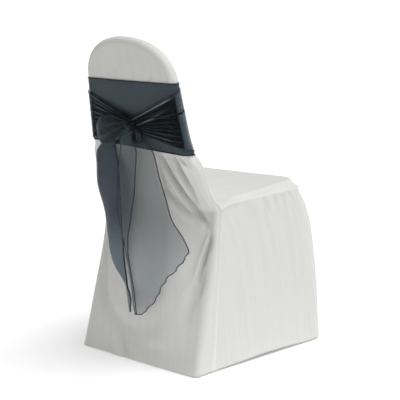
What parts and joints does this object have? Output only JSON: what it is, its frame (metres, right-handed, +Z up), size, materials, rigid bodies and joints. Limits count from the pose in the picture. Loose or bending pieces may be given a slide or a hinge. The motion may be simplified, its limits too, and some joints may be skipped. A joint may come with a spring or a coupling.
{
  "type": "chair cover with a tied sash",
  "caption": "Floor-length fitted cover for a round-topped dining chair, with an organza sash tied in a bow behind its back.",
  "frame": {"origin": "under the middle of the seat, on the underside of the seat panel, where the chair's seat pad lies", "axes": "+Z up, the sitter faces -Y, the bow is on the +Y side, +X is on the left as seen from behind"},
  "size_m": [0.5048, 0.5958, 0.922],
  "materials": {
    "polyester": "matt white woven polyester",
    "organza": "dark grey organza with a fine sheen"
  },
  "bodies": {
    "root": {"outer_back": "polyester", "inner_back": "polyester", "seat_panel": "polyester", "skirt": "polyester", "sash": "organza"}
  },
  "joints": []
}
